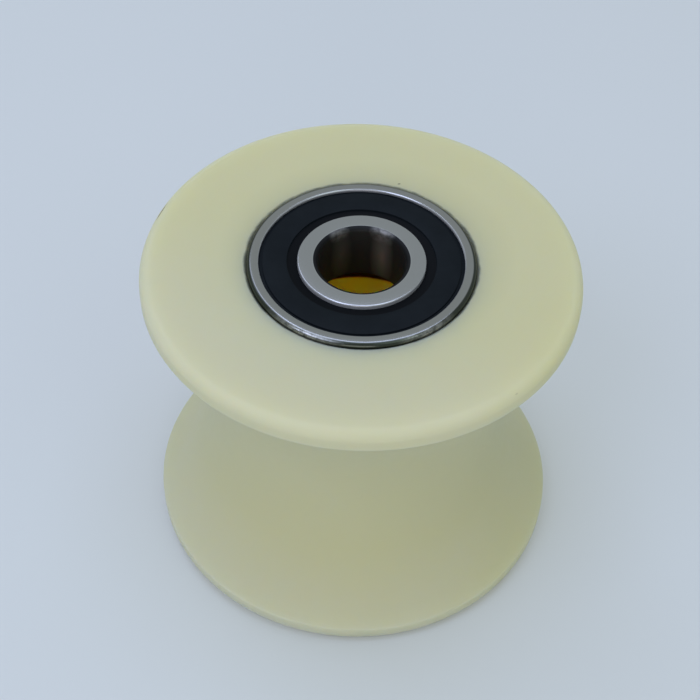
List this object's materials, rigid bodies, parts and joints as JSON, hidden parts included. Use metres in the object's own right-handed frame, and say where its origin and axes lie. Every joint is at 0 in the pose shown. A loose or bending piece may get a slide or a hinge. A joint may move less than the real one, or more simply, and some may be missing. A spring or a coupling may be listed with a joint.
{
  "type": "u-groove gate wheel",
  "caption": "Turned nylon spool wheel with a wide U groove for a round rail, running on a sealed ball bearing pressed into each end, for a sliding gate.",
  "frame": {"origin": "on the wheel's axis, at the middle of the groove, which is the middle of the bounding box", "axes": "+Z is the wheel's axis, with the wheel standing on its lower end; X and Y are radial and alike"},
  "size_m": [0.1, 0.1, 0.0816],
  "materials": {
    "nylon": "natural cast nylon, turned, milky and slightly translucent",
    "bearing_steel": "ground bearing steel, dull",
    "ball_steel": "polished bearing steel",
    "cage_steel": "pressed sheet steel",
    "seal_rubber": "matt black moulded rubber"
  },
  "bodies": {
    "wheel": {"wheel_body": "nylon", "upper_outer_ring": "bearing_steel", "upper_outboard_seal": "seal_rubber", "upper_inboard_seal": "seal_rubber", "lower_outer_ring": "bearing_steel", "lower_outboard_seal": "seal_rubber", "lower_inboard_seal": "seal_rubber"},
    "upper_axle_ring": {"upper_inner_ring": "bearing_steel"},
    "upper_cage": {"upper_cage_top": "cage_steel", "upper_cage_bottom": "cage_steel", "upper_cage_rivets": "cage_steel"},
    "upper_ball_1": {"upper_ball_1": "ball_steel"},
    "upper_ball_2": {"upper_ball_2": "ball_steel"},
    "upper_ball_3": {"upper_ball_3": "ball_steel"},
    "upper_ball_4": {"upper_ball_4": "ball_steel"},
    "upper_ball_5": {"upper_ball_5": "ball_steel"},
    "upper_ball_6": {"upper_ball_6": "ball_steel"},
    "upper_ball_7": {"upper_ball_7": "ball_steel"},
    "lower_axle_ring": {"lower_inner_ring": "bearing_steel"},
    "lower_cage": {"lower_cage_top": "cage_steel", "lower_cage_bottom": "cage_steel", "lower_cage_rivets": "cage_steel"},
    "lower_ball_1": {"lower_ball_1": "ball_steel"},
    "lower_ball_2": {"lower_ball_2": "ball_steel"},
    "lower_ball_3": {"lower_ball_3": "ball_steel"},
    "lower_ball_4": {"lower_ball_4": "ball_steel"},
    "lower_ball_5": {"lower_ball_5": "ball_steel"},
    "lower_ball_6": {"lower_ball_6": "ball_steel"},
    "lower_ball_7": {"lower_ball_7": "ball_steel"}
  },
  "joints": [
    {"name": "upper_axle_ring_turn", "type": "hinge", "parent": "wheel", "child": "upper_axle_ring", "pos_m": [0, 0, 0.0333], "axis": [0, 0, 1], "continuous": true},
    {"name": "upper_cage_turn", "type": "hinge", "parent": "wheel", "child": "upper_cage", "pos_m": [0, 0, 0.0333], "axis": [0, 0, 1], "continuous": true},
    {"name": "upper_ball_1_spin", "type": "hinge", "parent": "upper_cage", "child": "upper_ball_1", "pos_m": [0.018, 0, 0.0333], "axis": [0, 0, 1], "continuous": true},
    {"name": "upper_ball_2_spin", "type": "hinge", "parent": "upper_cage", "child": "upper_ball_2", "pos_m": [0.01122, 0.01407, 0.0333], "axis": [0, 0, 1], "continuous": true},
    {"name": "upper_ball_3_spin", "type": "hinge", "parent": "upper_cage", "child": "upper_ball_3", "pos_m": [-0.00401, 0.01755, 0.0333], "axis": [0, 0, 1], "continuous": true},
    {"name": "upper_ball_4_spin", "type": "hinge", "parent": "upper_cage", "child": "upper_ball_4", "pos_m": [-0.01622, 0.00781, 0.0333], "axis": [0, 0, 1], "continuous": true},
    {"name": "upper_ball_5_spin", "type": "hinge", "parent": "upper_cage", "child": "upper_ball_5", "pos_m": [-0.01622, -0.00781, 0.0333], "axis": [0, 0, 1], "continuous": true},
    {"name": "upper_ball_6_spin", "type": "hinge", "parent": "upper_cage", "child": "upper_ball_6", "pos_m": [-0.00401, -0.01755, 0.0333], "axis": [0, 0, 1], "continuous": true},
    {"name": "upper_ball_7_spin", "type": "hinge", "parent": "upper_cage", "child": "upper_ball_7", "pos_m": [0.01122, -0.01407, 0.0333], "axis": [0, 0, 1], "continuous": true},
    {"name": "lower_axle_ring_turn", "type": "hinge", "parent": "wheel", "child": "lower_axle_ring", "pos_m": [0, 0, -0.0333], "axis": [0, 0, 1], "continuous": true},
    {"name": "lower_cage_turn", "type": "hinge", "parent": "wheel", "child": "lower_cage", "pos_m": [0, 0, -0.0333], "axis": [0, 0, 1], "continuous": true},
    {"name": "lower_ball_1_spin", "type": "hinge", "parent": "lower_cage", "child": "lower_ball_1", "pos_m": [0.018, 0, -0.0333], "axis": [0, 0, 1], "continuous": true},
    {"name": "lower_ball_2_spin", "type": "hinge", "parent": "lower_cage", "child": "lower_ball_2", "pos_m": [0.01122, 0.01407, -0.0333], "axis": [0, 0, 1], "continuous": true},
    {"name": "lower_ball_3_spin", "type": "hinge", "parent": "lower_cage", "child": "lower_ball_3", "pos_m": [-0.00401, 0.01755, -0.0333], "axis": [0, 0, 1], "continuous": true},
    {"name": "lower_ball_4_spin", "type": "hinge", "parent": "lower_cage", "child": "lower_ball_4", "pos_m": [-0.01622, 0.00781, -0.0333], "axis": [0, 0, 1], "continuous": true},
    {"name": "lower_ball_5_spin", "type": "hinge", "parent": "lower_cage", "child": "lower_ball_5", "pos_m": [-0.01622, -0.00781, -0.0333], "axis": [0, 0, 1], "continuous": true},
    {"name": "lower_ball_6_spin", "type": "hinge", "parent": "lower_cage", "child": "lower_ball_6", "pos_m": [-0.00401, -0.01755, -0.0333], "axis": [0, 0, 1], "continuous": true},
    {"name": "lower_ball_7_spin", "type": "hinge", "parent": "lower_cage", "child": "lower_ball_7", "pos_m": [0.01122, -0.01407, -0.0333], "axis": [0, 0, 1], "continuous": true}
  ],
  "couplings": [
    {"joint": "upper_cage_turn", "follows": "upper_axle_ring_turn", "ratio": 0.36771},
    {"joint": "upper_ball_1_spin", "follows": "upper_axle_ring_turn", "ratio": -1.7575},
    {"joint": "upper_ball_2_spin", "follows": "upper_axle_ring_turn", "ratio": -1.7575},
    {"joint": "upper_ball_3_spin", "follows": "upper_axle_ring_turn", "ratio": -1.7575},
    {"joint": "upper_ball_4_spin", "follows": "upper_axle_ring_turn", "ratio": -1.7575},
    {"joint": "upper_ball_5_spin", "follows": "upper_axle_ring_turn", "ratio": -1.7575},
    {"joint": "upper_ball_6_spin", "follows": "upper_axle_ring_turn", "ratio": -1.7575},
    {"joint": "upper_ball_7_spin", "follows": "upper_axle_ring_turn", "ratio": -1.7575},
    {"joint": "lower_cage_turn", "follows": "lower_axle_ring_turn", "ratio": 0.36771},
    {"joint": "lower_ball_1_spin", "follows": "lower_axle_ring_turn", "ratio": -1.7575},
    {"joint": "lower_ball_2_spin", "follows": "lower_axle_ring_turn", "ratio": -1.7575},
    {"joint": "lower_ball_3_spin", "follows": "lower_axle_ring_turn", "ratio": -1.7575},
    {"joint": "lower_ball_4_spin", "follows": "lower_axle_ring_turn", "ratio": -1.7575},
    {"joint": "lower_ball_5_spin", "follows": "lower_axle_ring_turn", "ratio": -1.7575},
    {"joint": "lower_ball_6_spin", "follows": "lower_axle_ring_turn", "ratio": -1.7575},
    {"joint": "lower_ball_7_spin", "follows": "lower_axle_ring_turn", "ratio": -1.7575}
  ]
}
